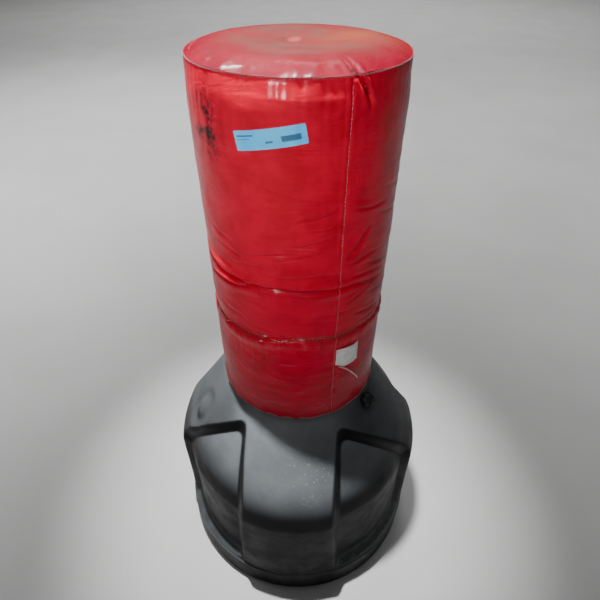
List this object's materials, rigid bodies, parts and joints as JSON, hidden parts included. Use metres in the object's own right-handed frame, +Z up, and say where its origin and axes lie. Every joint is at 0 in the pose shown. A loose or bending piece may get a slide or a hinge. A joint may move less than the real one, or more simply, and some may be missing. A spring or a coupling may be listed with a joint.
{
  "type": "free-standing punching bag",
  "caption": "Free-standing punching bag: a padded vinyl bag that slides and turns on a post in a round hollow weighted base with a screw fill cap.",
  "frame": {"origin": "centre of the base's underside, on the floor and on the post's axis", "axes": "+Z up along the post, -Y towards the base's front strap, +X to that side's right"},
  "size_m": [0.6044, 0.6042, 1.2033],
  "materials": {
    "base_plastic": "matte",
    "water": "gloss",
    "post_plastic": "satin",
    "nut_plastic": "satin",
    "rubber": "matte",
    "steel": "satin",
    "cap_plastic": "satin",
    "bush_nylon": "satin",
    "foam": "matte",
    "red_vinyl": "gloss",
    "seam_thread": "matte",
    "label_cloth": "matte",
    "sticker_paper": "satin"
  },
  "bodies": {
    "base": {"base_shell": "base_plastic", "water_fill": "water", "height_post": "post_plastic", "post_plug": "post_plastic", "post_nut": "nut_plastic", "post_seal": "rubber", "lock_peg": "steel", "peg_clip": "steel", "fill_neck": "nut_plastic"},
    "seat": {"seat_bush": "bush_nylon"},
    "bag": {"core_washer": "bush_nylon", "core_tube": "post_plastic", "core_cap": "post_plastic", "foam_body": "foam", "foam_top": "foam", "cover_side": "red_vinyl", "cover_top": "red_vinyl", "cover_bottom": "red_vinyl", "top_welt": "seam_thread", "side_seam": "seam_thread", "cross_seam": "seam_thread", "bottom_hem": "seam_thread", "care_label": "label_cloth", "label_strip": "label_cloth", "blank_sticker": "sticker_paper"},
    "gasket": {"cap_gasket": "rubber"},
    "cap": {"fill_cap": "cap_plastic"}
  },
  "joints": [
    {"name": "bag_lift", "type": "slide", "parent": "base", "child": "seat", "axis": [0, 0, 1], "range_m": [0, 0.5334]},
    {"name": "bag_turn", "type": "hinge", "parent": "seat", "child": "bag", "pos_m": [0, 0, 0.5836], "axis": [0, 0, 1], "continuous": true},
    {"name": "cap_lift", "type": "slide", "parent": "base", "child": "gasket", "axis": [0.6124, -0.3536, 0.7071], "range_m": [0, 0.016]},
    {"name": "cap_turn", "type": "hinge", "parent": "gasket", "child": "cap", "pos_m": [0.15762, -0.091, 0.5148], "axis": [0.6124, -0.3536, 0.7071], "range_deg": [0, 1441]}
  ],
  "couplings": [
    {"joint": "cap_turn", "follows": "cap_lift", "rad_per_m": 1570.8}
  ]
}
